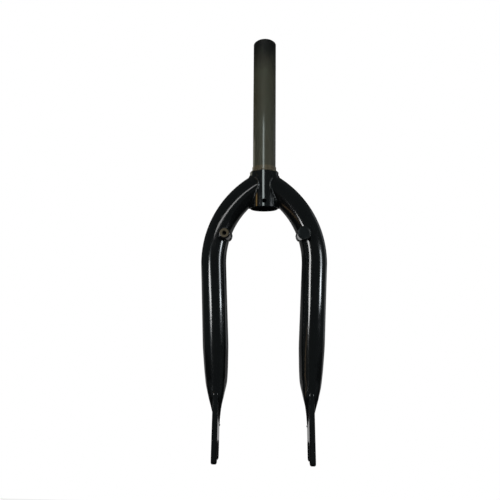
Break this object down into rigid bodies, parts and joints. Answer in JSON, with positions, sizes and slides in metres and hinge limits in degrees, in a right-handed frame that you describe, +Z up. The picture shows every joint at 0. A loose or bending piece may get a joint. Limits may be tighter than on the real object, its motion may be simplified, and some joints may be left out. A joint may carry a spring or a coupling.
{
  "type": "bmx fork",
  "caption": "Rigid unicrown bicycle fork with a plain threadless steerer, bent tube legs, brake bosses and open axle slots.",
  "frame": {"origin": "on the steering axis at the foot of the crown race seat", "axes": "+Z up the steerer along the steering axis, -Y to the front of the fork, +X to the leg with the capped boss"},
  "size_m": [0.153, 0.0658, 0.5067],
  "materials": {
    "raw_steel": "raw oily tube, painted black below the race seat",
    "paint": "gloss black paint",
    "plug": "matte black moulding"
  },
  "bodies": {
    "root": {"steerer_tube": "raw_steel", "boss_plug": "plug", "left_leg": "paint", "right_leg": "paint", "left_dropout": "paint", "right_dropout": "paint", "left_brake_boss": "paint", "right_brake_boss": "paint", "left_crown_weld": "paint", "right_crown_weld": "paint", "left_boss_weld": "paint", "right_boss_weld": "paint"}
  },
  "joints": []
}
